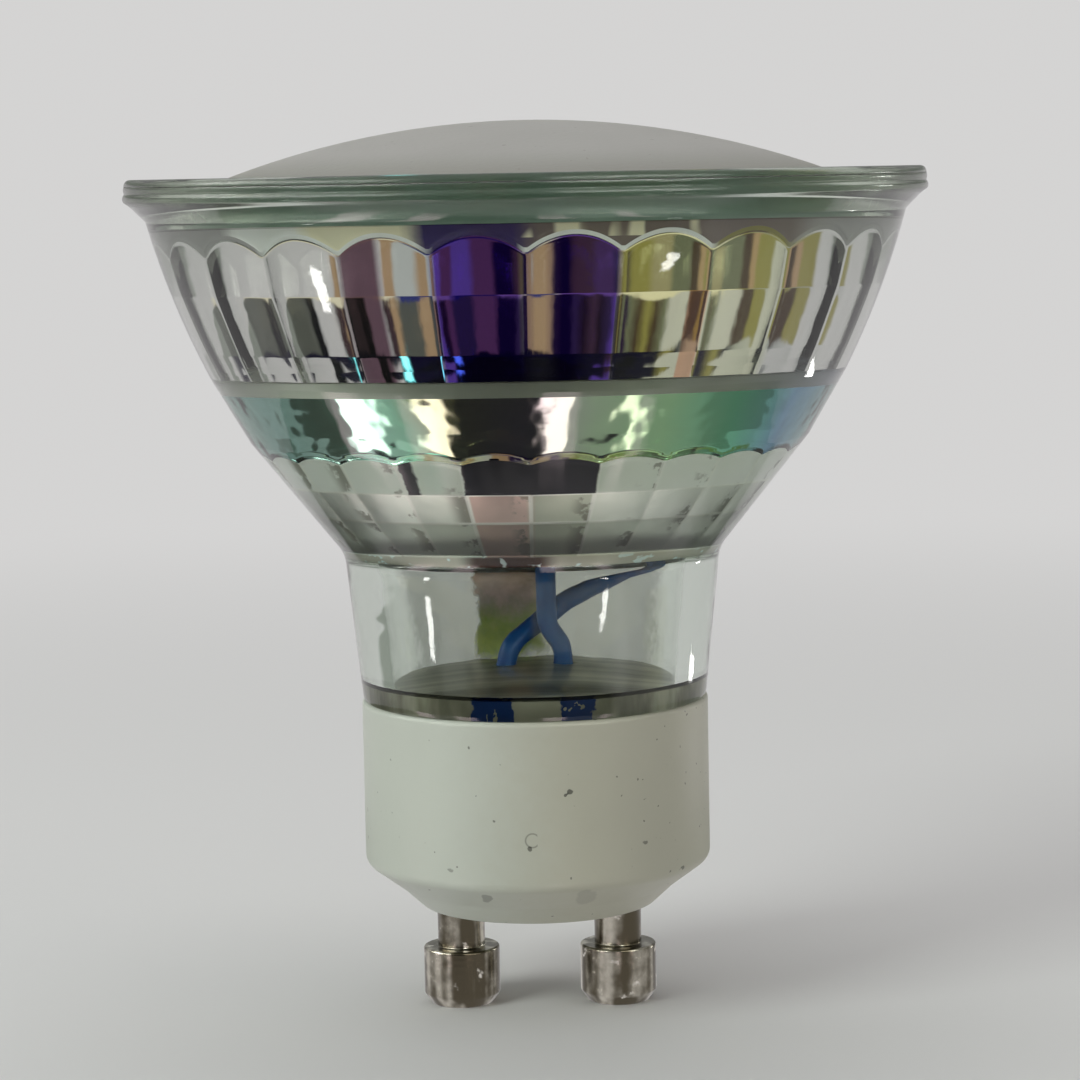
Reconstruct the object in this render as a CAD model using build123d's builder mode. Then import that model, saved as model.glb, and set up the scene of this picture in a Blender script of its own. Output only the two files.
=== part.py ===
"""A twist-lock spotlight lamp, 50 mm across: a pressed glass reflector with two tiers of flutes,
a domed diffuser, a disc board with its light sources, two leads and a two-pin ceramic base.

Millimetres, +Z up. The origin is on the lamp's axis, at the foot of the two pins.
The pins stand along X. -Y is the front.
"""
import math
import os

from build123d import *

# Contact pins, 10 mm apart
pin_spacing = 10.0
pin_head_diameter = 4.85
pin_head_height = 3.7
pin_head_bevel = 0.7
pin_head_bevel_inset = 0.5
pin_head_edge = 0.15
pin_neck_diameter = 3.0
pin_neck_length = 2.95
pin_hole_gap = 0.03
pin_rivet_diameter = 3.9
pin_rivet_height = 0.5
pin_bore_diameter = 0.9
pin_bore_depth = 5.0

# Ceramic base
base_diameter = 21.9
base_height = 13.15
base_wall = 1.2
base_floor = 3.0
base_inner_round = 1.0
base_edge_round = 0.8
base_boss_diameter = 14.9
base_boss_height = 1.25
base_boss_flare = 1.35
base_cone_height = 1.6
base_mouth_edge = 0.3

# Glass, outside, from its shoulder on the base up to the rim
neck_foot_inset = 0.075
neck_height = 9.35
neck_top_diameter = 23.65
neck_round = 2.2
lower_cone_height = 7.15
lower_cone_diameter = 35.05
mid_cone_height = 4.0
mid_cone_diameter = 39.7
bowl_height = 9.8
bowl_diameter = 47.2
bowl_bulge = 0.27
lip_flare_height = 1.1
lip_height = 1.5
rim_diameter = 50.0
lip_round = 0.55
lip_root_round = 0.4

# Glass, inside, from the mouth down; each wall is measured level, in from the outside
mouth_wall = 2.0
mouth_depth = 2.6
board_ledge = 0.7
flute_count = 24
flute_slack = 0.3
upper_band_height = 1.5
upper_band_taper = 0.35
upper_flute_depth = 0.2
upper_height_shares = (0.33, 0.47, 0.20)
upper_inset_shares = (0.15, 0.55, 0.30)
bead_wall = 2.3
bead_height = 0.9
bead_width = 0.1
lower_wall = 2.43
lower_flute_depth = 0.07
lower_height_shares = (0.34, 0.32, 0.34)
lower_inset_shares = (0.21, 0.32, 0.47)
throat_wall = 2.15
throat_rise = 0.45
throat_height = 1.0
throat_taper = 0.4
neck_bore_taper = 0.09
glass_floor = 1.4
floor_crown = 1.4
lead_hole_spacing = 3.6
lead_hole_gap = 0.25

# Glass spigot in the base's mouth, and the cement round it
spigot_height = 3.0
spigot_wall = 1.6
cement_thickness = 0.55

# Diffuser dome
dome_rise = 3.25
dome_flange_width = 2.35
dome_wall = 1.4
dome_flange_drop = 0.2
dome_flange_thickness = 1.0
dome_skirt_width = 1.5
dome_flare_round = 2.0
dome_glue_gap = 0.25

# Board and what is soldered on it
board_thickness = 1.0
led_count = 8
led_ring_diameter = 26.0
led_length = 3.5
led_width = 2.8
led_height = 0.7
led_window_margin = 0.3
led_window_corner = 0.5
led_window_depth = 0.12
rectifier_size = (4.7, 3.8, 1.4)
rectifier_place = (-4.6, -3.8)
rectifier_leg_pitch = 2.5
rectifier_legs = 2
driver_size = (4.9, 3.9, 1.45)
driver_place = (-4.6, 3.8)
driver_leg_pitch = 1.27
driver_legs = 4
leg_width = 0.45
leg_thickness = 0.2
leg_reach = 0.75
package_standoff = 0.1
package_edge = 0.25
resistor_size = (3.2, 1.6, 0.6)
resistor_cap_length = 0.5
resistor_cap_step = 0.05
resistor_places = ((3.4, -6.6), (3.4, 6.6))
fuse_length = 3.6
fuse_diameter = 1.5
fuse_cap_length = 0.6
fuse_cap_step = 0.08
fuse_place = (4.4, -3.4)

# Leads, from the pins' bores to the board; heights along them are from the nearest fixed level
lead_diameter = 1.25
lead_core_diameter = 0.6
lead_strip = 2.5
lead_stub = 0.35
lead_tail = 0.65
lead_bend = 2.0
lead_rise = 2.7
lead_gather = 2.4
lead_exit = 0.45
right_bend_rise = 1.9
left_bend_rise = 3.0
left_bend_place = (1.9, 2.4)
left_bend_below_neck = 0.45
board_hole_gap = 0.15
solder_diameter = 2.6
solder_height = 0.9
right_board_place = (0.8, 0.0)
left_board_place = (8.1, 1.8)

# Heights above the foot of the pins
base_bottom_z = pin_head_height + pin_neck_length
base_floor_z = base_bottom_z + base_floor
base_top_z = base_bottom_z + base_height
pin_top_z = base_floor_z + pin_rivet_height
neck_top_z = base_top_z + neck_height
lower_cone_z = neck_top_z + lower_cone_height
mid_cone_z = lower_cone_z + mid_cone_height
bowl_z = mid_cone_z + bowl_height
flare_z = bowl_z + lip_flare_height
rim_z = flare_z + lip_height
ledge_z = rim_z - mouth_depth
board_top_z = ledge_z + board_thickness
flange_z = rim_z - dome_flange_drop
dome_top_z = rim_z + dome_rise
floor_z = base_top_z + glass_floor
crown_z = floor_z + floor_crown

# Radii that several pieces share
base_radius = base_diameter / 2
base_bore_radius = base_radius - base_wall
neck_foot_radius = base_radius - neck_foot_inset
spigot_radius = base_bore_radius - cement_thickness
mouth_radius = bowl_diameter / 2 - mouth_wall
board_radius = mouth_radius - dome_glue_gap
lead_radius = lead_diameter / 2
core_radius = lead_core_diameter / 2


def stations(top, foot, height_shares, inset_shares):
    """Radius and height of each step down a tier of facets, which share its height and inset."""
    found = [top]
    for height_share, inset_share in zip(height_shares, inset_shares):
        radius, z = found[-1]
        found.append(
            (radius - inset_share * (top[0] - foot[0]), z - height_share * (top[1] - foot[1]))
        )
    return found


def crown(half_width, rise):
    """Radius and half angle, in degrees, of a shallow crown's arc."""
    radius = (half_width**2 + rise**2) / (2 * rise)
    return radius, math.degrees(math.asin(half_width / radius))


# The inside of the glass, as the cusps between its flutes run down
band_top_radius = mouth_radius - board_ledge
bead_radius = mid_cone_diameter / 2 - bead_wall
throat_radius = neck_top_diameter / 2 - throat_wall
throat_z = neck_top_z + throat_rise
upper_cusps = stations(
    (band_top_radius - upper_band_taper * upper_band_height, ledge_z - upper_band_height),
    (bead_radius + flute_slack, mid_cone_z + bead_height),
    upper_height_shares,
    upper_inset_shares,
)
lower_cusps = stations(
    (lower_cone_diameter / 2 - lower_wall, lower_cone_z),
    (throat_radius + throat_taper * throat_height + flute_slack, throat_z + throat_height),
    lower_height_shares,
    lower_inset_shares,
)
lower_band_height = mid_cone_z - lower_cone_z
bore_foot_radius = throat_radius - neck_bore_taper * (throat_z - floor_z)


def flute_ring(cusp_radius, z, depth):
    """One level of the fluted cavity: a ring of shallow arcs that meet in cusps."""
    step = 2 * math.pi / flute_count
    crest_radius = cusp_radius + depth
    with BuildSketch(Plane.XY.offset(z)) as ring:
        with BuildLine():
            for number in range(flute_count):
                start, middle, end = (step * (number + part) for part in (0, 0.5, 1))
                ThreePointArc(
                    (cusp_radius * math.cos(start), cusp_radius * math.sin(start)),
                    (crest_radius * math.cos(middle), crest_radius * math.sin(middle)),
                    (cusp_radius * math.cos(end), cusp_radius * math.sin(end)),
                )
        make_face()
    return ring.sketch


def flute_rings(cusps, depth, lead_in):
    """The levels of a tier, with one more above it, along its first facet's own taper."""
    (first_radius, first_z), (next_radius, next_z) = cusps[:2]
    taper = (first_radius - next_radius) / (first_z - next_z)
    levels = [(first_radius + taper * lead_in, first_z + lead_in), *cusps]
    return [flute_ring(radius, z, depth) for radius, z in levels]


# Pressed glass reflector, one piece from the rim to the spigot in the base
floor_arc_radius, floor_arc_angle = crown(bore_foot_radius, floor_crown)
with BuildPart() as glass_reflector:
    with BuildSketch(Plane.XZ) as wall:
        with BuildLine():
            Polyline(
                (0, crown_z),
                (0, base_top_z),
                (spigot_radius - spigot_wall, base_top_z),
                (spigot_radius - spigot_wall, base_top_z - spigot_height),
                (spigot_radius, base_top_z - spigot_height),
                (spigot_radius, base_top_z),
                (neck_foot_radius, base_top_z),
                (neck_top_diameter / 2, neck_top_z),
                (lower_cone_diameter / 2, lower_cone_z),
                (mid_cone_diameter / 2, mid_cone_z),
            )
            bowl = SagittaArc(
                (mid_cone_diameter / 2, mid_cone_z), (bowl_diameter / 2, bowl_z), -bowl_bulge
            )
            Polyline(
                (bowl_diameter / 2, bowl_z),
                (rim_diameter / 2, flare_z),
                (rim_diameter / 2, rim_z),
                (mouth_radius, rim_z),
                (mouth_radius, ledge_z),
                (band_top_radius, ledge_z),
                upper_cusps[0],
                *[(radius - flute_slack, z) for radius, z in upper_cusps[1:]],
                (bead_radius - bead_width, mid_cone_z),
                lower_cusps[0],
                *[(radius - flute_slack, z) for radius, z in lower_cusps[1:]],
                (throat_radius, throat_z),
                (bore_foot_radius, floor_z),
            )
            CenterArc(
                (0, crown_z - floor_arc_radius),
                floor_arc_radius,
                90 - floor_arc_angle,
                floor_arc_angle,
            )
        make_face()
        corners = wall.vertices()
        fillet(corners.sort_by_distance((neck_top_diameter / 2, neck_top_z))[0], neck_round)
        fillet(corners.sort_by_distance((rim_diameter / 2, rim_z))[0], lip_round)
        fillet(corners.sort_by_distance((rim_diameter / 2, flare_z))[0], lip_root_round)
        fillet(corners.sort_by_distance((bowl_diameter / 2, bowl_z))[0], lip_root_round)
    revolve(axis=Axis.Z)
    loft(
        flute_rings(upper_cusps, upper_flute_depth, upper_band_height),
        ruled=True,
        mode=Mode.SUBTRACT,
    )
    loft(
        flute_rings(lower_cusps, lower_flute_depth, lower_band_height / 2),
        ruled=True,
        mode=Mode.SUBTRACT,
    )
    with BuildSketch(Plane.XY.offset(base_top_z)):
        with GridLocations(lead_hole_spacing, 0, 2, 1):
            Circle(lead_radius + lead_hole_gap)
    extrude(amount=crown_z - base_top_z, mode=Mode.SUBTRACT)
glass_reflector.part.label = "glass_reflector"

# Ceramic base, a cup with a stepped foot and a hole for each pin
boss_radius = base_boss_diameter / 2
cone_foot_radius = boss_radius + base_boss_flare
cone_foot_z = base_bottom_z + base_boss_height
cone_top_z = cone_foot_z + base_cone_height
with BuildPart() as ceramic_base:
    with BuildSketch(Plane.XZ) as cup:
        with BuildLine():
            Polyline(
                (0, base_bottom_z),
                (boss_radius, base_bottom_z),
                (cone_foot_radius, cone_foot_z),
                (base_radius, cone_top_z),
                (base_radius, base_top_z),
                (base_bore_radius, base_top_z),
                (base_bore_radius, base_floor_z),
                (0, base_floor_z),
                close=True,
            )
        make_face()
        corners = cup.vertices()
        fillet(corners.sort_by_distance((base_radius, cone_top_z))[0], base_edge_round)
        fillet(corners.sort_by_distance((boss_radius, base_bottom_z))[0], base_mouth_edge)
        fillet(corners.sort_by_distance((base_radius, base_top_z))[0], base_mouth_edge)
        fillet(corners.sort_by_distance((base_bore_radius, base_floor_z))[0], base_inner_round)
    revolve(axis=Axis.Z)
    with BuildSketch(Plane.XY.offset(base_bottom_z)):
        with GridLocations(pin_spacing, 0, 2, 1):
            Circle(pin_neck_diameter / 2 + pin_hole_gap)
    extrude(amount=base_floor, mode=Mode.SUBTRACT)
ceramic_base.part.label = "ceramic_base"

# Cement that holds the glass spigot in the base
with BuildPart() as base_cement:
    with BuildSketch(Plane.XY.offset(base_top_z)):
        Circle(base_bore_radius)
        Circle(spigot_radius, mode=Mode.SUBTRACT)
    extrude(amount=-spigot_height)
base_cement.part.label = "base_cement"


def contact_pin(x):
    """A turned pin: a bevelled head, a neck through the base's floor and a rivet above it."""
    head_radius = pin_head_diameter / 2
    with BuildPart() as pin:
        with BuildSketch(Plane.XZ):
            with BuildLine():
                Polyline(
                    (0, 0),
                    (head_radius - pin_head_bevel_inset, 0),
                    (head_radius, pin_head_bevel),
                    (head_radius, pin_head_height - pin_head_edge),
                    (head_radius - pin_head_edge, pin_head_height),
                    (pin_neck_diameter / 2, pin_head_height),
                    (pin_neck_diameter / 2, base_floor_z),
                    (pin_rivet_diameter / 2, base_floor_z),
                    (pin_rivet_diameter / 2, pin_top_z),
                    (pin_bore_diameter / 2, pin_top_z),
                    (pin_bore_diameter / 2, pin_top_z - pin_bore_depth),
                    (0, pin_top_z - pin_bore_depth),
                    close=True,
                )
            make_face()
        revolve(axis=Axis.Z)
        bevel = pin.faces().sort_by(Axis.Z)[0].edges()
        fillet(bevel, pin_head_edge)
    return pin.part.move(Location((x, 0, 0)))


def lead_wire(points, foot, head):
    """An insulated lead along its route, with a bare core in the pin and through the board."""
    with BuildPart() as wire:
        with BuildLine():
            route = FilletPolyline(*points, radius=lead_bend)
        with BuildSketch(Plane(origin=route @ 0, z_dir=route % 0)):
            Circle(lead_radius)
        sweep()
        with BuildSketch(Plane.XY.offset(pin_top_z + lead_stub)):
            with Locations(foot):
                Circle(core_radius)
        extrude(amount=-lead_stub - lead_strip)
        with BuildSketch(Plane.XY.offset(ledge_z - lead_stub)):
            with Locations(head):
                Circle(core_radius)
        extrude(amount=lead_stub + board_thickness + lead_tail)
    return wire.part


pin_x = pin_spacing / 2
hole_x = lead_hole_spacing / 2
wire_foot_z = pin_top_z + lead_stub
wire_head_z = ledge_z - lead_stub
rise_z = wire_foot_z + lead_rise
gather_z = base_top_z - lead_gather
exit_z = crown_z + lead_exit
left_pin = contact_pin(-pin_x)
right_pin = contact_pin(pin_x)
left_pin.label = "contact_pin_left"
right_pin.label = "contact_pin_right"

# The left lead crosses behind the right one just above the glass floor
left_lead = lead_wire(
    [
        (-pin_x, 0, wire_foot_z),
        (-pin_x, 0, rise_z),
        (-hole_x, 0, gather_z),
        (-hole_x, 0, exit_z),
        (*left_bend_place, crown_z + left_bend_rise),
        (*left_board_place, neck_top_z - left_bend_below_neck),
        (*left_board_place, wire_head_z),
    ],
    (-pin_x, 0),
    left_board_place,
)
right_lead = lead_wire(
    [
        (pin_x, 0, wire_foot_z),
        (pin_x, 0, rise_z),
        (hole_x, 0, gather_z),
        (hole_x, 0, exit_z),
        (*right_board_place, crown_z + right_bend_rise),
        (*right_board_place, wire_head_z),
    ],
    (pin_x, 0),
    right_board_place,
)
left_lead.label = "lead_wire_left"
right_lead.label = "lead_wire_right"

# Aluminium board on the glass ledge, with a hole for each lead's core
with BuildPart() as led_board:
    with BuildSketch(Plane.XY.offset(ledge_z)):
        Circle(board_radius)
        with Locations(left_board_place, right_board_place):
            Circle(core_radius + board_hole_gap, mode=Mode.SUBTRACT)
    extrude(amount=board_thickness)
led_board.part.label = "led_board"


def solder_joint(place):
    """A low cone of solder round a lead's core, on the board."""
    foot_radius = solder_diameter / 2
    with BuildPart() as joint:
        with BuildSketch(Plane.XZ):
            with BuildLine():
                ThreePointArc(
                    (foot_radius, board_top_z),
                    (foot_radius * 0.6, board_top_z + solder_height * 0.4),
                    (core_radius * 1.4, board_top_z + solder_height),
                )
                Polyline(
                    (core_radius * 1.4, board_top_z + solder_height),
                    (0, board_top_z + solder_height),
                    (0, board_top_z + lead_tail),
                    (core_radius, board_top_z + lead_tail),
                    (core_radius, board_top_z),
                    (foot_radius, board_top_z),
                )
            make_face()
        revolve(axis=Axis.Z)
    return joint.part.move(Location((*place, 0)))


left_solder = solder_joint(left_board_place)
right_solder = solder_joint(right_board_place)
left_solder.label = "solder_joint_left"
right_solder.label = "solder_joint_right"


def led_chip(angle):
    """A light source with a sunk window, its long side along the ring."""
    turn = math.radians(angle)
    out = Vector(math.cos(turn), math.sin(turn), 0)
    seat = Plane(
        origin=out * (led_ring_diameter / 2) + Vector(0, 0, board_top_z),
        x_dir=out.rotate(Axis.Z, 90),
        z_dir=(0, 0, 1),
    )
    with BuildPart() as chip:
        with BuildSketch(seat):
            Rectangle(led_length, led_width)
        extrude(amount=led_height)
        with BuildSketch(seat.offset(led_height)):
            RectangleRounded(
                led_length - 2 * led_window_margin,
                led_width - 2 * led_window_margin,
                led_window_corner,
            )
        extrude(amount=-led_window_depth, mode=Mode.SUBTRACT)
    return chip.part


def legged_package(size, place, legs, pitch):
    """A moulded chip package with a row of bent legs on each long side."""
    length, width, height = size
    seat = Plane.XY.offset(board_top_z)
    with BuildPart() as package:
        with BuildSketch(seat.offset(package_standoff)):
            with Locations(place):
                Rectangle(length, width)
        extrude(amount=height - package_standoff)
        chamfer(package.faces().sort_by(Axis.Z)[-1].edges(), package_edge)
        with BuildSketch(seat):
            with Locations(place):
                with GridLocations(pitch, width + leg_reach, legs, 2):
                    Rectangle(leg_width, leg_reach)
        extrude(amount=leg_thickness)
        with BuildSketch(seat):
            with Locations(place):
                with GridLocations(pitch, width + leg_thickness, legs, 2):
                    Rectangle(leg_width, leg_thickness)
        extrude(amount=height / 2)
    return package.part


rectifier = legged_package(rectifier_size, rectifier_place, rectifier_legs, rectifier_leg_pitch)
driver = legged_package(driver_size, driver_place, driver_legs, driver_leg_pitch)
rectifier.label = "rectifier_bridge"
driver.label = "driver_chip"


def chip_resistor(place):
    """A flat resistor between two plated end caps."""
    length, width, height = resistor_size
    seat = Plane.XY.offset(board_top_z)
    with BuildPart() as resistor:
        with BuildSketch(seat):
            with Locations(place):
                with GridLocations(length - resistor_cap_length, 0, 2, 1):
                    Rectangle(resistor_cap_length, width)
        extrude(amount=height)
        with BuildSketch(seat.offset(resistor_cap_step)):
            with Locations(place):
                Rectangle(length - 2 * resistor_cap_length, width - 2 * resistor_cap_step)
        extrude(amount=height - 2 * resistor_cap_step)
    return resistor.part


# Fusible resistor, a small barrel between two caps, that lies along X
with BuildPart() as input_fuse:
    barrel_z = board_top_z + fuse_diameter / 2
    barrel_start = Plane.YZ.offset(fuse_place[0] - fuse_length / 2)
    with BuildSketch(barrel_start):
        with Locations((fuse_place[1], barrel_z)):
            Circle(fuse_diameter / 2 - fuse_cap_step)
    extrude(amount=fuse_length)
    with BuildSketch(barrel_start, barrel_start.offset(fuse_length - fuse_cap_length)):
        with Locations((fuse_place[1], barrel_z)):
            Circle(fuse_diameter / 2)
    extrude(amount=fuse_cap_length)
input_fuse.part.label = "input_fuse"

# Frosted dome: a shallow crown, a flange flush with the rim and a skirt down to the board
dome_radius = board_radius - dome_flange_width
dome_arc_radius, dome_arc_angle = crown(dome_radius, dome_rise + dome_flange_drop)
inner_arc_radius = dome_arc_radius - dome_wall
inner_flange_z = flange_z - dome_flange_thickness
inner_arc_angle = math.degrees(
    math.acos((inner_flange_z - dome_top_z + dome_arc_radius) / inner_arc_radius)
)
skirt_radius = board_radius - dome_skirt_width
with BuildPart() as diffuser_dome:
    with BuildSketch(Plane.XZ) as shell:
        with BuildLine():
            outer = CenterArc(
                (0, dome_top_z - dome_arc_radius),
                dome_arc_radius,
                90 - dome_arc_angle,
                dome_arc_angle,
            )
            inner = CenterArc(
                (0, dome_top_z - dome_arc_radius),
                inner_arc_radius,
                90 - inner_arc_angle,
                inner_arc_angle,
            )
            Line(outer @ 1, inner @ 1)
            Polyline(
                inner @ 0,
                (skirt_radius, inner_flange_z),
                (skirt_radius, board_top_z),
                (board_radius, board_top_z),
                (board_radius, flange_z),
                outer @ 0,
            )
        make_face()
        fillet(shell.vertices().sort_by_distance((dome_radius, flange_z))[0], dome_flare_round)
    revolve(axis=Axis.Z)
diffuser_dome.part.label = "diffuser_dome"

# Adhesive between the glass mouth and the edges of the dome and the board
with BuildPart() as dome_adhesive:
    with BuildSketch(Plane.XY.offset(ledge_z)):
        Circle(mouth_radius)
        Circle(board_radius, mode=Mode.SUBTRACT)
    extrude(amount=flange_z - ledge_z)
dome_adhesive.part.label = "dome_adhesive"

os.makedirs("parts", exist_ok=True)
export_step(glass_reflector.part, "parts/glass_reflector.step")
export_step(ceramic_base.part, "parts/ceramic_base.step")
export_step(base_cement.part, "parts/base_cement.step")
export_step(left_pin, "parts/contact_pin_left.step")
export_step(right_pin, "parts/contact_pin_right.step")
export_step(left_lead, "parts/lead_wire_left.step")
export_step(right_lead, "parts/lead_wire_right.step")
export_step(led_board.part, "parts/led_board.step")
export_step(left_solder, "parts/solder_joint_left.step")
export_step(right_solder, "parts/solder_joint_right.step")
export_step(rectifier, "parts/rectifier_bridge.step")
export_step(driver, "parts/driver_chip.step")
export_step(input_fuse.part, "parts/input_fuse.step")
export_step(diffuser_dome.part, "parts/diffuser_dome.step")
export_step(dome_adhesive.part, "parts/dome_adhesive.step")
for number in range(led_count):
    chip = led_chip(360 * (number + 0.5) / led_count)
    chip.label = f"led_chip_{number + 1}"
    export_step(chip, f"parts/{chip.label}.step")
for number, place in enumerate(resistor_places, start=1):
    resistor = chip_resistor(place)
    resistor.label = f"chip_resistor_{number}"
    export_step(resistor, f"parts/{resistor.label}.step")
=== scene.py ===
import math

import bpy
from mathutils import Matrix, Vector


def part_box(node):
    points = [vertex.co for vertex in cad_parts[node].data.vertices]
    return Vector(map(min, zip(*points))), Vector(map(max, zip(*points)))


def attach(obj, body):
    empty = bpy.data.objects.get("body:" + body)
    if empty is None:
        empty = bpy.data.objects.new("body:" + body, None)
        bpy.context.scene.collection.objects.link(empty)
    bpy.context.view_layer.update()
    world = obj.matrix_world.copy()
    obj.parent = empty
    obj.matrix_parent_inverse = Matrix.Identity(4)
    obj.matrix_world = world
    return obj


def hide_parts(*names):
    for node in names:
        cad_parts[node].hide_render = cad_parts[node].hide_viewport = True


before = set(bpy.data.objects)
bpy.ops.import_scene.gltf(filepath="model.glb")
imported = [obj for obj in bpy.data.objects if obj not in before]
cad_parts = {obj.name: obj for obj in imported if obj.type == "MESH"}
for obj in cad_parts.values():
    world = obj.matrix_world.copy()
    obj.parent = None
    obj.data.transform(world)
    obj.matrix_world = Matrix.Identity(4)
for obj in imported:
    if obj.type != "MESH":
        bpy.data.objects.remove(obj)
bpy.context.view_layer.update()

# Lengths are in millimetres until a mesh or lamp is made, and distances in shaders in metres
MM = 0.001

glass_low, glass_high = (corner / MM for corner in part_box("glass_reflector"))
base_low, base_high = (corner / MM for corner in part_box("ceramic_base"))
dome_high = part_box("diffuser_dome")[1] / MM
pin_low, pin_high = (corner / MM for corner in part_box("contact_pin_right"))
board_low, board_high = (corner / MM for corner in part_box("led_board"))

rim_z = glass_high.z
rim_radius = glass_high.x
base_top = base_high.z
base_bottom = base_low.z
base_radius = base_high.x
dome_top = dome_high.z
ledge_z = board_low.z
board_top = board_high.z
skirt_radius = dome_high.x
pin_x = (pin_low.x + pin_high.x) / 2
pin_radius = (pin_high.x - pin_low.x) / 2


# Meshes


def cut_corner(before, corner, after, radius, steps):
    """Points of the arc that rounds one corner of an outline, with a support point at each end."""
    back = (Vector(before) - Vector(corner)).normalized()
    on = (Vector(after) - Vector(corner)).normalized()
    half = back.angle(on) / 2
    reach = radius / math.tan(half)
    centre = Vector(corner) + (back + on).normalized() * (radius / math.sin(half))
    start = Vector(corner) + back * reach
    sweep = math.pi - 2 * half
    side = 1 if back.x * on.y - back.y * on.x < 0 else -1
    arm = start - centre
    support = min(0.12, radius / 2)
    found = [start + back * support]
    for step in range(steps + 1):
        turn = side * sweep * step / steps
        found.append(centre + Matrix.Rotation(turn, 2) @ arm)
    found.append(Vector(corner) + on * (reach + support))
    return found


def outline(points, steps=6):
    """An outline of (radius, height) points, where a third number rounds that corner."""
    flat = [Vector(point[:2]) for point in points]
    found = []
    for place, point in enumerate(points):
        if len(point) == 3:
            found += cut_corner(flat[place - 1], flat[place], flat[place + 1], point[2], steps)
        else:
            found.append(flat[place])
    return [(point.x, point.y) for point in found]


def arc_points(start, end, bulge, steps):
    """Points from start to end along a shallow arc that stands out to the right by bulge."""
    start, end = Vector(start), Vector(end)
    across = (end - start).orthogonal().normalized()
    if across.x < 0:
        across = -across
    found = []
    for step in range(steps + 1):
        part = step / steps
        point = start.lerp(end, part) + across * bulge * 4 * part * (1 - part)
        found.append((point.x, point.y))
    return found


def plain_columns(count, start=0.0):
    """Equally spaced angles round the axis, from this share of a step."""
    return [2 * math.pi * (number + start) / count for number in range(count)]


def still(*points):
    """Rows that are the same all the way round, one for each (radius, height)."""
    return [lambda angle, point=point: point for point in points]


def wall_mesh(name, rows, angles, creases=(), finishes=()):
    """A closed wall round the axis.

    Each row gives (radius, height) for an angle. creases are the rows that stay sharp, and
    finishes gives (first row, last row, slot number) for what isn't the first material.
    """
    vertices, faces, slots = [], [], []
    rings = []
    for row in rows:
        spots = [row(angle) for angle in angles]
        if max(radius for radius, _ in spots) < 1e-6:
            rings.append([len(vertices)] * len(angles))
            vertices.append((0, 0, spots[0][1] * MM))
            continue
        rings.append(list(range(len(vertices), len(vertices) + len(angles))))
        for angle, (radius, z) in zip(angles, spots):
            vertices.append((radius * math.cos(angle) * MM, radius * math.sin(angle) * MM, z * MM))
    middles = [row(angles[0]) for row in rows]
    turn = sum(a[0] * b[1] - b[0] * a[1] for a, b in zip(middles, middles[1:]))
    for place in range(len(rows) - 1):
        low, high = rings[place], rings[place + 1]
        if turn < 0:
            low, high = high, low
        slot = next((number for first, last, number in finishes if first <= place < last), 0)
        for here in range(len(angles)):
            there = (here + 1) % len(angles)
            corners = [low[here], low[there], high[there], high[here]]
            face = [c for n, c in enumerate(corners) if c not in corners[:n]]
            if len(face) > 2:
                faces.append(face)
                slots.append(slot)
    mesh = bpy.data.meshes.new(name)
    mesh.from_pydata(vertices, [], faces)
    mesh.polygons.foreach_set("use_smooth", [True] * len(faces))
    mesh.polygons.foreach_set("material_index", slots)
    sharp = {v for place in creases for v in rings[place]}
    ring_of = {v: place for place, ring in enumerate(rings) for v in ring}
    for edge in mesh.edges:
        first, second = edge.vertices
        if first in sharp and second in sharp and ring_of[first] == ring_of[second]:
            edge.use_edge_sharp = True
    mesh.update()
    return mesh


def lathe(name, points, count=160, creases=()):
    """A turned mesh from an outline."""
    return wall_mesh(name, still(*points), plain_columns(count), creases)


def piece(name, mesh, *materials):
    """An object of the bulb that rides on its one body."""
    made = bpy.data.objects.new(name, mesh)
    bpy.context.scene.collection.objects.link(made)
    for material in materials:
        made.data.materials.append(material)
    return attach(made, "root")


# Shader nodes


class Shade:
    """A socket of a shader node. Sums, products and powers of shades add Math nodes."""

    def __init__(self, paint, socket):
        self.paint = paint
        self.socket = socket

    def __add__(self, other):
        return self.paint.maths("ADD", self, other)

    __radd__ = __add__

    def __sub__(self, other):
        return self.paint.maths("SUBTRACT", self, other)

    def __rsub__(self, other):
        return self.paint.maths("SUBTRACT", other, self)

    def __mul__(self, other):
        return self.paint.maths("MULTIPLY", self, other)

    __rmul__ = __mul__

    def __truediv__(self, other):
        return self.paint.maths("DIVIDE", self, other)

    def __pow__(self, other):
        return self.paint.maths("POWER", self, other)

    def __gt__(self, other):
        return self.paint.maths("GREATER_THAN", self, other)

    def __lt__(self, other):
        return self.paint.maths("LESS_THAN", self, other)


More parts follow.
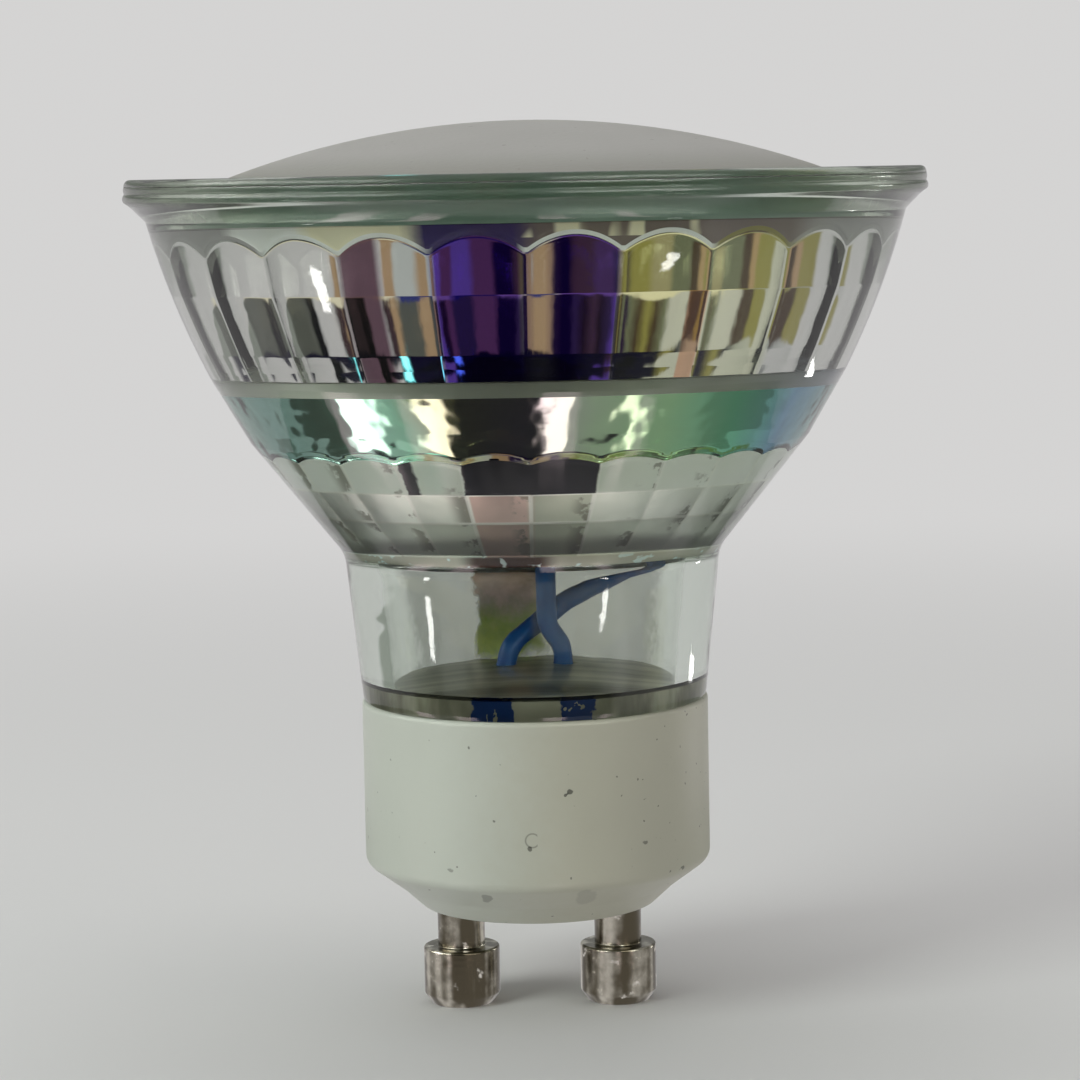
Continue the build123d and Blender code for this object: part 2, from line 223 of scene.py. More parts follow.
class Paint:
    """The node tree of one material, or of the world."""

    def __init__(self, owner):
        self.owner = owner
        owner.use_nodes = True
        self.tree = owner.node_tree
        self.tree.nodes.clear()

    def node(self, kind, settings=None, sockets=None, output=0):
        """Adds a node, sets it, fills its sockets with values or links, and gives an output."""
        made = self.tree.nodes.new(kind)
        for key, value in (settings or {}).items():
            if key == "stops":
                self.set_stops(made.color_ramp, value)
            else:
                setattr(made, key, value)
        for key, value in (sockets or {}).items():
            if isinstance(value, Shade):
                self.tree.links.new(value.socket, made.inputs[key])
            else:
                made.inputs[key].default_value = value
        return Shade(self, made.outputs[output])

    def set_stops(self, ramp, stops):
        while len(ramp.elements) < len(stops):
            ramp.elements.new(1.0)
        for element, (place, colour) in zip(ramp.elements, stops):
            element.position = place
            element.color = (*colour, 1.0) if len(colour) == 3 else colour

    def maths(self, operation, *values):
        return self.node("ShaderNodeMath", {"operation": operation}, dict(enumerate(values)))

    def clamp(self, value):
        return self.node("ShaderNodeClamp", {}, {"Value": value})

    def between(self, value, low, high):
        """0 below low, 1 above high, smooth between."""
        return self.node(
            "ShaderNodeMapRange",
            {"interpolation_type": "SMOOTHSTEP"},
            {"Value": value, "From Min": low, "From Max": high},
        )

    def span(self, value, rise, fall):
        """1 between two edges, of which each is given by where it starts and ends."""
        return self.between(value, *rise) * (1 - self.between(value, *fall))

    def sector(self, turn, rise, fall):
        """The same between two bearings, in degrees right of the front."""
        rise, fall = ([0.5 + degrees / 360 for degrees in edge] for edge in (rise, fall))
        return self.span(turn, rise, fall)

    def ring(self, turn, *runs):
        """A colour for each direction round the bulb, blended between runs.

        A run gives where it starts and ends, in degrees right of the front, and its colour. A
        run with one bearing is a single spot.
        """
        stops = [(0.5 + degrees / 360, run[-1]) for run in runs for degrees in run[:-1]]
        return self.node("ShaderNodeValToRGB", {"stops": stops}, {0: turn})

    def mix(self, share, first, second):
        """A colour between two colours."""
        values = {0: share}
        for place, value in ((6, first), (7, second)):
            values[place] = value if isinstance(value, Shade) else (*value, 1.0)
        return self.node("ShaderNodeMix", {"data_type": "RGBA"}, values, 2)

    def add(self, first, second):
        """The sum of two colours."""
        return self.node("ShaderNodeVectorMath", {"operation": "ADD"}, {0: first, 1: second})

    def noise(self, where, scale, detail=2.0, roughness=0.5, stretch=None):
        """Soft noise, about 0.5 at its middle, from a place in metres."""
        if stretch:
            where = self.node(
                "ShaderNodeVectorMath", {"operation": "MULTIPLY"}, {0: where, 1: stretch}
            )
        return self.node(
            "ShaderNodeTexNoise",
            {},
            {"Vector": where, "Scale": scale, "Detail": detail, "Roughness": roughness},
        )

    def place(self):
        """The point on the surface, in the object's own metres."""
        return self.node("ShaderNodeTexCoord", output=3)

    def axes(self, vector):
        """The three parts of a vector."""
        first = self.node("ShaderNodeSeparateXYZ", {}, {0: vector})
        outputs = first.socket.node.outputs
        return [Shade(self, outputs[number]) for number in range(3)]

    def bump(self, height, strength, distance):
        return self.node(
            "ShaderNodeBump", {}, {"Height": height, "Strength": strength, "Distance": distance}
        )

    def surface(self, values, volume=None):
        """The one shader of a material, and its volume where it has one."""
        shader = self.node("ShaderNodeBsdfPrincipled", {}, values)
        self.finish(shader, volume)
        return self.owner

    def finish(self, shader, volume=None, kind="ShaderNodeOutputMaterial"):
        out = self.tree.nodes.new(kind)
        self.tree.links.new(shader.socket, out.inputs[0])
        if volume:
            self.tree.links.new(volume.socket, out.inputs[1])


def new_paint(name):
    """The node tree of a new material, and the point on the surface."""
    paint = Paint(bpy.data.materials.new(name))
    return paint, paint.place()


# Surroundings. Only mirror bounces see the room: the rest see the pale background.

BACKGROUND = (0.66, 0.655, 0.65)
FLOOR = (0.70, 0.69, 0.68)
DAYLIGHT = (0.42, 0.425, 0.43)
THROUGH_GLASS = (1.2, 1.2, 1.18)

PALE = (0.60, 0.585, 0.59)
SILVER = (0.40, 0.41, 0.40)
SHINE = (0.52, 0.54, 0.53)
CREAM = (0.85, 0.78, 0.58)
PURPLE = (0.026, 0.012, 0.05)
BLUE = (0.04, 0.05, 0.20)
MAROON = (0.055, 0.032, 0.04)
TAN = (0.44, 0.30, 0.18)
OLIVE = (0.30, 0.27, 0.09)
SAND = (0.36, 0.32, 0.20)
MOSS = (0.17, 0.18, 0.13)
BROWN = (0.07, 0.045, 0.03)
SMOKE = (0.11, 0.115, 0.10)
NAVY = (0.008, 0.007, 0.025)
BLACK = (0.006, 0.006, 0.009)
DUSK = (0.03, 0.03, 0.035)
HAZE = (0.26, 0.28, 0.25)
HOT = (2.8, 2.3, 2.4)
ICE = (0.7, 2.6, 2.8)
WINDOW = (9.0, 9.0, 8.6)
SPARK = (16.0, 16.0, 15.5)
DARK = (0.0, 0.0, 0.0)

# Where the rings of the table meet, as distances from the axis in metres
RING_EDGES = (
    (0.0405, 0.0415),
    (0.0480, 0.0490),
    (0.0580, 0.0600),
    (0.0820, 0.0840),
    (0.104, 0.112),
)
UNDER_BULB = (0.020, 0.026)
NECK_SEES = (0.040, 0.046)

# Gaps between the curtains that the neck's skin reflects: bearings from and to, in degrees right
# of the front, the near and the far end on the table in metres, and the lean
GLINTS = (
    (-66.0, -63.4, 0.0665, 0.0841, -0.1),
    (39.9, 42.2, 0.0827, 0.0935, 0.6),
    (117.5, 121.5, 0.0537, 0.0610, 0.6),
)
GLINT_EDGE = 0.002


def seen_past_the_table(paint, turn):
    """The room at eye level, as the tallest facets reflect it."""
    return paint.ring(
        turn,
        (-180, -47, PALE),
        (-45, -38, TAN),
        (-35, -22, SHINE),
        (-17, -4, TAN),
        (-1, 10, PURPLE),
        (16, 28, OLIVE),
        (33, 46, SAND),
        (50, 65, MOSS),
        (68, 74, BROWN),
        (77, 81, TAN),
        (84, 102, OLIVE),
        (107, PALE),
    )


def window_streaks(paint, turn):
    """Thin bright gaps between the curtains, low behind the table."""
    return paint.ring(
        turn,
        (-67, DARK),
        (-66, -62, SPARK),
        (-61, 38.5, DARK),
        (39.5, 42, SPARK),
        (43, 116, DARK),
        (118, 123, SPARK),
        (125, DARK),
    )


def table_rings(paint, turn, reach, outside):
    """The table, in rings about the bulb. Each tier of facets reflects one of them.

    A facet at the side of the bulb reflects a spot farther off, so reach is shortened there.
    """
    aside = paint.between(paint.maths("ABSOLUTE", turn - 0.5), 30 / 360, 110 / 360)
    reach = reach * (1 - 0.4 * aside)
    ledge = paint.ring(
        turn,
        (-180, -104, PALE),
        (-96, -40, CREAM),
        (-34, -3, BLUE),
        (1, 60, CREAM),
        (70, OLIVE),
        (90, SILVER),
        (110, PALE),
    )
    middle = paint.ring(
        turn,
        (-180, -136, PALE),
        (-132, -108, HAZE),
        (-105, -78, SMOKE),
        (-75, -69, BLACK),
        (-66, -51, PALE),
        (-48, -44, MAROON),
        (-42, -39, TAN),
        (-36, -22, SMOKE),
        (-18, -4, TAN),
        (0, 12, PURPLE),
        (16, MOSS),
        (24, BROWN),
        (32, OLIVE),
        (38, BROWN),
        (46, MOSS),
        (51, 67, PALE),
        (71, 82, BROWN),
        (86, 101, OLIVE),
        (106, PALE),
    )
    close = paint.ring(
        turn,
        (-180, -112, PALE),
        (-104, -46, NAVY),
        (-43, -39, ICE),
        (-36, 46, NAVY),
        (58, OLIVE),
        (66, NAVY),
        (78, SILVER),
        (110, PALE),
    )
    lower = paint.ring(
        turn,
        (-180, SILVER),
        (-71, PALE),
        (-69, -61, BLACK),
        (-58, -47, PALE),
        (-44, 34, BLACK),
        (38, PALE),
        (180, SILVER),
    )
    under = paint.ring(
        turn,
        (-180, -83, SMOKE),
        (-80, -70, HOT),
        (-66, -52, SILVER),
        (-49, -39, HOT),
        (-36, 4, DUSK),
        (6, 17, HOT),
        (20, 40, SILVER),
        (43, 47, HOT),
        (50, 76, SILVER),
        (84, 130, HAZE),
        (180, SMOKE),
    )
    found = under
    rings = (lower, close, middle, ledge, seen_past_the_table(paint, turn))
    for ring, edge in zip(rings, RING_EDGES):
        found = paint.mix(paint.between(reach, *edge), found, ring)
    found = paint.mix(paint.between(reach, *UNDER_BULB), PALE, found)
    skin = paint.ring(
        turn,
        (-180, -84, PALE),
        (-79, -44, SMOKE),
        (-40, 14, NAVY),
        (20, 47, SMOKE),
        (54, 180, PALE),
    )
    found = paint.mix(paint.between(reach, *NECK_SEES) * outside, found, skin)
    lit = 0.0
    for start, end, near, far, lean in GLINTS:
        across = paint.sector(turn - (reach - near) * lean, (start - 1, start), (end, end + 1))
        along = paint.span(reach, (near, near + GLINT_EDGE), (far - GLINT_EDGE, far))
        lit = across * along + lit
    return paint.add(found, paint.mix(lit * outside, DARK, SPARK))


def direction_round(paint, x, y):
    """The direction of a spot seen from the axis, as a share of a turn, a half at the front."""
    return paint.maths("ARCTAN2", x, y * -1) / (2 * math.pi) + 0.5


def ray_kinds(paint):
    """How the ray in hand has come: seen, by way of a mirror, never through glass, and the
    plain tone that it meets, which is brighter for light on its way to what is inside the glass.
    """
    path = paint.node("ShaderNodeLightPath")
    rays = {output.name: Shade(paint, output) for output in path.socket.node.outputs}
    seen = rays["Is Camera Ray"] + rays["Is Glossy Ray"] + rays["Is Transmission Ray"]
    outside = 1 - paint.clamp(rays["Transmission Depth"])
    pale = paint.mix(paint.clamp(rays["Diffuse Depth"]), BACKGROUND, THROUGH_GLASS)
    return paint.clamp(seen), paint.clamp(rays["Glossy Depth"]), outside, pale


world = bpy.data.worlds.new("studio")
bpy.context.scene.world = world
air = Paint(world)
seen, mirrored, outside, pale = ray_kinds(air)
direction = air.node("ShaderNodeTexCoord")
x, y, z = air.axes(direction)
turn = direction_round(air, x, y) + air.noise(direction, 3.0, 3.0) * 0.02 - 0.01
window = air.ring(
    turn,
    (-180, -112, PALE),
    (-104, -40, WINDOW),
    (-32, 8, DUSK),
    (12, 54, WINDOW),
    (62, SILVER),
    (110, PALE),
)
curtain = air.noise(direction, 60.0, 2.0, stretch=(1.0, 1.0, 0.05))
window = air.mix(air.between(curtain, 0.42, 0.60), SILVER, window)
streaks = air.mix(outside, DARK, window_streaks(air, turn))
low = air.add(seen_past_the_table(air, turn), streaks)
room = air.mix(air.between(z, 0.05, 0.10), low, HAZE)
room = air.mix(air.between(z, 0.18, 0.26), room, window)
room = air.mix(air.between(z, 0.60, 0.75), room, PALE)
sky = air.mix(seen, DAYLIGHT, air.mix(mirrored, pale, room))
air.finish(
    air.node("ShaderNodeBackground", {}, {"Color": sky, "Strength": 1.0}),
    kind="ShaderNodeOutputWorld",
)


# Sizes of the glass that the frame doesn't give

FLUTES = 24
COLUMNS_PER_FLUTE = 26
FLOOR_ROWS = 16
BORE_ROWS = 4
POCKET_ROWS = 12
FACET_EDGE = 0.06
ARCH_EDGE = 0.13
ARCH_RIDGE = 0.02
SLACK = 0.3
MOUTH_RADIUS = skirt_radius + 0.25
LIP_GROOVE = (rim_radius - 0.17, rim_z - 0.88)
NECK_TOP = base_top + 9.35
LOWER_CONE = NECK_TOP + 7.15
MID_CONE = LOWER_CONE + 4.0
BOWL = rim_z - 2.6
THROAT = NECK_TOP + 0.45
SPIGOT_RADIUS = base_radius - 1.75
SPIGOT_FOOT = glass_low.z
SPIGOT_WALL = 1.6
NECK_RADIUS = 11.825
NECK_BORE = NECK_RADIUS - 2.15
LOWER_CONE_RADIUS = 17.525
MID_CONE_RADIUS = 19.85
BOWL_RADIUS = 23.6
BEAD_RADIUS = MID_CONE_RADIUS - 2.3
BAND_RADIUS = MID_CONE_RADIUS - 2.4
FLOOR_Z = base_top + 1.4
FLOOR_CROWN = 0.85
POCKET_RADIUS = 8.75
POCKET_ROOF = 0.3
HOLE_X = 1.8
HOLE_RADIUS = 0.66


# The form of the flutes


def flute_radius(angle, cusp_radius, depth):
    """Radius of the fluted wall at an angle: shallow arcs that meet in cusps."""
    step = 2 * math.pi / FLUTES
    offset = (angle % step) - step / 2
    half_chord = cusp_radius * math.sin(step / 2)
    sagitta = cusp_radius + depth - cusp_radius * math.cos(step / 2)
    radius = (half_chord**2 + sagitta**2) / (2 * sagitta)
    centre = cusp_radius + depth - radius
    return centre * math.cos(offset) + math.sqrt(radius**2 - (centre * math.sin(offset)) ** 2)


class Tier:
    """A tier of flutes below a smooth band: where its arches start and its facets end."""

    def __init__(self, band_top, top, foot, heights, insets, depth, arch):
        self.depth = depth
        self.arch = arch
        self.cusps = [top]
        for height, inset in zip(heights, insets):
            radius, z = self.cusps[-1]
            self.cusps.append(
                (radius - inset * (top[0] - foot[0]), z - height * (top[1] - foot[1]))
            )
        (first_radius, first_z), (next_radius, next_z) = self.cusps[:2]
        self.taper = (first_radius - next_radius) / (first_z - next_z)
        self.band_taper = (band_top[0] - top[0]) / (band_top[1] - top[1])

    def crest(self, angle):
        """Height above the tier's top where the flute leaves the band, at this angle."""
        gain = flute_radius(angle, self.cusps[0][0], self.depth) - self.cusps[0][0]
        return self.arch * gain / (self.band_taper - self.taper)

    def on_band(self, lift):
        """A row of the band, this far above the arches."""

        def row(angle):
            height = self.crest(angle) + lift
            return self.cusps[0][0] + self.band_taper * height, self.cusps[0][1] + height

        return row

    def on_flute(self, drop):
        """A row of the flutes, this far below their arches."""

        def row(angle):
            height = self.crest(angle) - drop
            radius = flute_radius(angle, self.cusps[0][0], self.depth) + self.taper * height
            return radius, self.cusps[0][1] + height

        return row

    def ridge(self, angle):
        """The fine ridge along the arches."""
        above, below = self.on_band(ARCH_EDGE)(angle), self.on_flute(ARCH_EDGE)(angle)
        return max(above[0], below[0]) + ARCH_RIDGE, (above[1] + below[1]) / 2

    def facet_row(self, number, rise=0.0):
        """One level of the flutes, or a little above or below it."""
        radius, z = self.cusps[number]
        step_up = self.cusps[number - 1] if rise > 0 else self.cusps[min(number + 1, 3)]
        slope = (step_up[0] - radius) / (step_up[1] - z) if step_up[1] != z else 0
        return lambda angle: (
            flute_radius(angle, radius + slope * rise, self.depth),
            z + rise,
        )


upper_tier = Tier(
    (MOUTH_RADIUS - 0.7, ledge_z),
    (MOUTH_RADIUS - 0.7 - 0.35 * 1.5, ledge_z - 1.5),
    (BEAD_RADIUS + SLACK, MID_CONE + 0.9),
    (0.33, 0.47, 0.20),
    (0.15, 0.55, 0.30),
    0.2,
    1.0,
)
lower_tier = Tier(
    (BAND_RADIUS, MID_CONE),
    (LOWER_CONE_RADIUS - 2.43, LOWER_CONE),
    (NECK_BORE + 0.4 + SLACK, THROAT + 1.0),
    (0.34, 0.32, 0.34),
    (0.21, 0.32, 0.47),
    0.07,
    0.4,
)


# Finishes

# The yellow-green patch of film behind the leads: from, to, foot and head
GREEN_PATCH = (-3.9, 0.4, FLOOR_Z, FLOOR_Z + 3.0)

# Where the leads show through the compound, from and to
LEAD_PATCHES = ((-3.6, -1.2), (1.45, 3.35))
PATCH_BLUR = 0.05

# Marks on the base: across, height, size and strength, then the ring-shaped scratch
BASE_MARKS = (
    (1.72, 15.32, 0.15, 0.9),
    (1.98, 15.50, 0.18, 0.9),
    (1.86, 15.40, 0.11, 0.9),
    (-3.2, 8.7, 0.35, 0.5),
    (2.9, 8.8, 0.75, 0.22),
    (-0.45, 12.1, 0.14, 0.8),
    (6.6, 11.9, 0.16, 0.7),
    (-5.4, 10.6, 0.14, 0.5),
)
SCRATCH = (-0.3, 12.6, 0.42)

NEUTRAL = (0.80, 0.76, 0.78)
VIOLET_FILM_AND_REFLECTION = (0.13, 0.06, 0.42)
PLUM_REFLECTION = (0.18, 0.10, 0.14)
STRAW_FILM_AND_REFLECTION = (0.84, 0.82, 0.66)
PAINTED_ORANGE = (0.82, 0.50, 0.34)
PAINTED_HIGHLIGHT_WHITE = (1.0, 1.0, 1.0)
PAINTED_HIGHLIGHT_CREAM = (1.0, 0.93, 0.70)
PAINTED_REFLECTION_INDIGO = (0.06, 0.04, 0.16)
LILAC_GREY = (0.42, 0.40, 0.41)
MAUVE = (0.24, 0.19, 0.18)


def pressed_glass():
    """Clear soda glass, faintly green in its thickness, with the ripple of a pressed surface.

    The rolls of the lip are matt from the mould, and the bore of the neck has a thin film that
    shows in streaks and patches.
    """
    paint, where = new_paint("pressed_glass")
    x, y, z = paint.axes(where)
    on_lip = paint.between(z, (rim_z - 1.75) * MM, (rim_z - 1.55) * MM)
    in_bore = ((x * x + y * y) ** 0.5 < (NECK_BORE + 0.05) * MM) * (z > FLOOR_Z * MM)
    ripple = paint.noise(where, 260.0, 2.0)
    upright = paint.noise(where, 160.0, 2.0, stretch=(1.0, 1.0, 0.25))
    bump = paint.bump(ripple + in_bore * upright * 2.0, 0.15, 0.0002)
    # Painted shade: the lip's glass is tinted greener and darker towards its left and right ends
    aside = paint.between(paint.maths("ABSOLUTE", x), 0.012, 0.023)
    clear = paint.node(
        "ShaderNodeBsdfPrincipled",
        {},
        {
            "Base Color": paint.mix(on_lip * aside, (0.97, 0.985, 0.97), (0.86, 0.89, 0.76)),
            "Roughness": 0.02 + on_lip * 0.17,
            "IOR": 1.5,
            "Transmission Weight": 1.0,
            "Normal": bump,
        },
    )
    drift = paint.noise(where, 240.0, 6.0, 0.75) - 0.5
    behind = paint.between(y + drift * 0.006, 0.002, 0.005)
    across = x + drift * 0.0030
    height = z + drift * 0.0040
    start, end, foot, head = (side * MM for side in GREEN_PATCH)
    edges = (start - 0.0002, start + 0.0002), (end - 0.0004, end + 0.0010)
    middle = behind * paint.span(across, *edges)
    rise = paint.between(height, head - 0.0010, head + 0.0016)
    green = middle * paint.between(height, foot - 0.0006, foot + 0.0006) * (1 - rise)
    pink = middle * rise
    lilac = paint.mix(paint.between(drift, -0.15, 0.1), (0.80, 0.66, 0.78), (0.62, 0.64, 0.58))
    tint = paint.mix(behind, lilac, (0.24, 0.22, 0.14))
    leaf = paint.mix(paint.between(drift, -0.2, 0.2), (0.22, 0.34, 0.01), (0.52, 0.58, 0.05))
    clay = paint.mix(paint.between(drift, -0.2, 0.2), (0.38, 0.26, 0.17), (0.72, 0.48, 0.36))
    tint = paint.mix(green, tint, leaf)
    tint = paint.mix(pink, tint, clay)
    film = paint.node(
        "ShaderNodeBsdfPrincipled",
        {},
        {
            "Base Color": tint,
            "Metallic": 1.0 - behind * 0.8,
            "Roughness": 0.14 + behind * 0.2,
            "Normal": bump,
        },
    )
    patches = paint.between(paint.noise(where, 220.0, 3.0), 0.45, 0.75)
    share = in_bore * paint.clamp(patches * 0.07 + behind * 0.48 + (green + pink) * 0.48)
    depth = paint.node(
        "ShaderNodeVolumeAbsorption", {}, {"Color": (0.25, 0.50, 0.24, 1.0), "Density": 52.0}
    )
    paint.finish(paint.node("ShaderNodeMixShader", {}, {0: share, 1: clear, 2: film}), depth)
    return paint.owner


def mirror_coat():
    """The reflecting film inside the flutes, whose tint shifts round the bulb and by tier. On the
    front flutes the violet, plum, straw and orange tints are painted reflections; further round
    the same tints are the film's own.
    """
    paint, where = new_paint("mirror_coat")
    x, y, z = paint.axes(where)
    turn = direction_round(paint, x, y)
    # From -30 to 45 degrees, on the front flutes, these tints are painted reflections
    tint = paint.ring(
        turn,
        (-180, -151, NEUTRAL),
        (-149.5, -135.5, STRAW_FILM_AND_REFLECTION),
        (-134.5, -120.5, VIOLET_FILM_AND_REFLECTION),
        (-119.5, -30.5, NEUTRAL),
        (-29.5, -23.5, PLUM_REFLECTION),
        (-22.5, -15.5, NEUTRAL),
        (-14.5, -0.5, VIOLET_FILM_AND_REFLECTION),
        (0.5, 3.5, NEUTRAL),
        (5.0, 14.5, VIOLET_FILM_AND_REFLECTION),
        (15.5, 44.5, STRAW_FILM_AND_REFLECTION),
        (45.5, 104.5, NEUTRAL),
        (105.5, 119.5, VIOLET_FILM_AND_REFLECTION),
        (120.5, 149.5, STRAW_FILM_AND_REFLECTION),
        (150.5, NEUTRAL),
    )
    # A painted orange reflection in a narrow streak, on the lower facets of the upper tier only
    painted_orange_share = paint.sector(turn, (26.2, 26.8), (29.6, 30.4))
    tint = paint.mix(painted_orange_share * (z < upper_tier.cusps[1][1] * MM), tint, PAINTED_ORANGE)
    aside = paint.between(paint.maths("ABSOLUTE", turn - 0.5), 62 / 360, 80 / 360)
    return coated(paint, where, tint, 0.035 + aside * 0.10, 0.10)


def band_coat():
    """The same film on the smooth band, where it turns teal and leaf green."""
    paint, where = new_paint("band_coat")
    drift = paint.noise(where, 120.0, 3.0)
    x, y, _ = paint.axes(where)
    turn = direction_round(paint, x, y) + (drift - 0.5) * 0.05
    teal = paint.ring(
        turn,
        (-180, (0.34, 0.52, 0.40)),
        (-62, (0.26, 0.42, 0.40)),
        (-44, (0.36, 0.50, 0.46)),
        (-38, (0.62, 0.95, 0.85)),
        (-28, (0.50, 0.85, 0.66)),
        (-22, (0.62, 0.66, 0.44)),
        (-12, (0.60, 0.58, 0.42)),
        (0, (0.55, 0.50, 0.52)),
        (12, (0.50, 0.62, 0.44)),
        (28, (0.42, 0.66, 0.38)),
        (44, (0.22, 0.58, 0.40)),
        (62, (0.20, 0.34, 0.52)),
        (90, (0.34, 0.52, 0.40)),
    )
    return coated(paint, where, teal, 0.05, 0.35)


def worn_coat_and_painted_light():
    """The film near the throat and on the bead, thin and dull, with painted light: highlight lines
    along the tiles' edges, shade on one side of each tile, and dark reflections at the front.
    """
    paint, where = new_paint("worn_coat_and_painted_light")
    x, y, z = paint.axes(where)
    turn = direction_round(paint, x, y)
    # Tint round the bulb: pale at the sides, pink and green across the front as painted reflection
    tint = paint.ring(
        turn,
        (-180, (0.88, 0.88, 0.86)),
        (-60, (0.94, 0.97, 0.93)),
        (-30.5, (0.90, 0.95, 0.86)),
        (-15.5, (0.84, 0.89, 0.78)),
        (-14.5, (0.70, 0.52, 0.45)),
        (-0.5, (0.66, 0.50, 0.44)),
        (0.5, (0.58, 0.62, 0.50)),
        (14.5, (0.62, 0.66, 0.54)),
        (15.5, (0.88, 0.93, 0.82)),
        (60, (0.95, 0.97, 0.92)),
        (180, (0.88, 0.88, 0.86)),
    )
    # Painted highlights: pale lines along the cusps and along the edges between the tile rows
    across = paint.maths("FRACT", turn * FLUTES)
    from_cusp = 0.5 - paint.maths("ABSOLUTE", across - 0.5)
    line = 1 - paint.between(from_cusp, 0.02, 0.05)
    for _, height in lower_tier.cusps[1:3]:
        from_edge = paint.maths("ABSOLUTE", z - height * MM)
        line = paint.clamp(line + 1 - paint.between(from_edge, 0.00005, 0.00011))
    # Painted shade on the right side of each tile, in blotches
    blotch = paint.between(paint.noise(where, 520.0, 4.0, 0.6), 0.50, 0.56)
    painted_tile_shade = paint.between(across, 0.58, 0.90) * blotch
    drift = (paint.noise(where, 700.0, 4.0, 0.6) - 0.5) * 0.010
    top_tiles = z > lower_tier.cusps[1][1] * MM
    on_bead = z > MID_CONE * MM
    # Painted dark reflections, with grey streaks, on two front tiles of the top row and on a strip
    # to their left
    painted_dark_tiles = paint.between(turn + drift, 0.5 - 15.4 / 360, 0.5 - 14.8 / 360) * (1 - on_bead)
    painted_dark_tiles = painted_dark_tiles * (1 - paint.between(turn + drift * 0.3, 0.5 + 14.8 / 360, 0.5 + 15.4 / 360))
    strip = paint.sector(turn + drift, (-29.6, -29.0), (-26.5, -25.5)) * (1 - on_bead)
    dark_streak_noise = paint.noise(where, 420.0, 4.0, 0.6, stretch=(0.25, 0.25, 3.0))
    dark_streak_share = paint.between(dark_streak_noise, 0.60, 0.66)
    black = paint.mix(dark_streak_share, (0.010, 0.009, 0.014), (0.16, 0.16, 0.17))
    tint = paint.mix(painted_tile_shade * 0.75, tint, (0.20, 0.19, 0.14))
    tint = paint.mix(line * (1 - painted_dark_tiles * top_tiles) * 0.75, tint, (0.98, 1.0, 0.92))
    tint = paint.mix(paint.clamp(painted_dark_tiles + strip) * top_tiles, tint, black)
    # At the throat: pale at the sides, a painted dark reflection at the front, and painted
    # sparkles
    throat = 1 - paint.between(z, (THROAT + 0.8) * MM, (THROAT + 1.0) * MM)
    painted_sparkles = paint.between(paint.noise(where, 900.0, 2.0), 0.58, 0.64)
    ahead = paint.sector(turn, (-26, -18), (2, 10))
    throat_tint_and_reflection = paint.mix(ahead, (0.60, 0.60, 0.52), (0.09, 0.05, 0.035))
    throat_tint_and_reflection = paint.mix(painted_sparkles, throat_tint_and_reflection, (0.85, 1.0, 1.0))
    tint = paint.mix(throat, tint, throat_tint_and_reflection)
    # The bead, darker across the front as a painted reflection
    bead = paint.ring(
        turn,
        (-180, (0.42, 0.42, 0.40)),
        (-50, (0.46, 0.47, 0.42)),
        (-20, (0.24, 0.25, 0.21)),
        (10, (0.17, 0.18, 0.14)),
        (40, (0.28, 0.29, 0.24)),
        (75, (0.30, 0.31, 0.40)),
        (100, (0.42, 0.42, 0.40)),
    )
    tint = paint.mix(on_bead, tint, bead)
    return coated(paint, where, tint, 0.33, 0.25, 1.0 - 0.8 * top_tiles * (1 - painted_dark_tiles))


def coated(paint, where, tint, roughness, waviness, metal=1.0):
    """A metal film on glass that ripples a little."""
    ripple = paint.noise(where, 300.0, 2.0)
    return paint.surface(
        {
            "Base Color": tint,
            "Metallic": metal,
            "Roughness": roughness,
            "Normal": paint.bump(ripple, waviness, 0.0003),
        }
    )


def olive_streaks(paint, where):
    """Dark olive with fine streaks from side to side."""
    streaks = paint.noise(where, 260.0, 4.0, stretch=(0.12, 2.4, 0.5))
    cloud = paint.noise(where, 90.0, 2.0)
    shade = paint.between(streaks * 0.75 + cloud * 0.25, 0.36, 0.66)
    return streaks, paint.mix(shade, (0.15, 0.145, 0.10), (0.50, 0.49, 0.37))


def floor_film():
    """The dull film on the floor of the neck."""
    paint, where = new_paint("floor_film")
    streaks, olive = olive_streaks(paint, where)
    return paint.surface(
        {
            "Base Color": olive,
            "Metallic": 0.35,
            "Roughness": 0.28,
            "Normal": paint.bump(streaks, 0.3, 0.0003),
        }
    )


def sealing_compound_painted_shade():
    """The compound under the glass floor, dark olive as painted shade of the closed cavity, blue
    where the leads press against the glass.
    """
    paint, where = new_paint("sealing_compound_painted_shade")
    x, _, _ = paint.axes(where)
    streaks, olive = olive_streaks(paint, where)
    ragged = x + (paint.noise(where, 1100.0, 4.0, 0.6) - 0.5) * 0.0011
    crumbs = paint.noise(where, 1500.0, 3.0)
    for start, end in LEAD_PATCHES:
        start_edge, end_edge = (
            [(side + blur) * MM for blur in (-PATCH_BLUR, PATCH_BLUR)] for side in (start, end)
        )
        patch = paint.span(ragged, start_edge, end_edge)
        olive = paint.mix(patch * (crumbs < 0.66), olive, (0.002, 0.022, 0.10))
    return paint.surface(
        {
            "Base Color": olive,
            "Roughness": 0.5,
            "Specular IOR Level": 0.1,
            "Normal": paint.bump(streaks, 0.3, 0.0003),
        }
    )


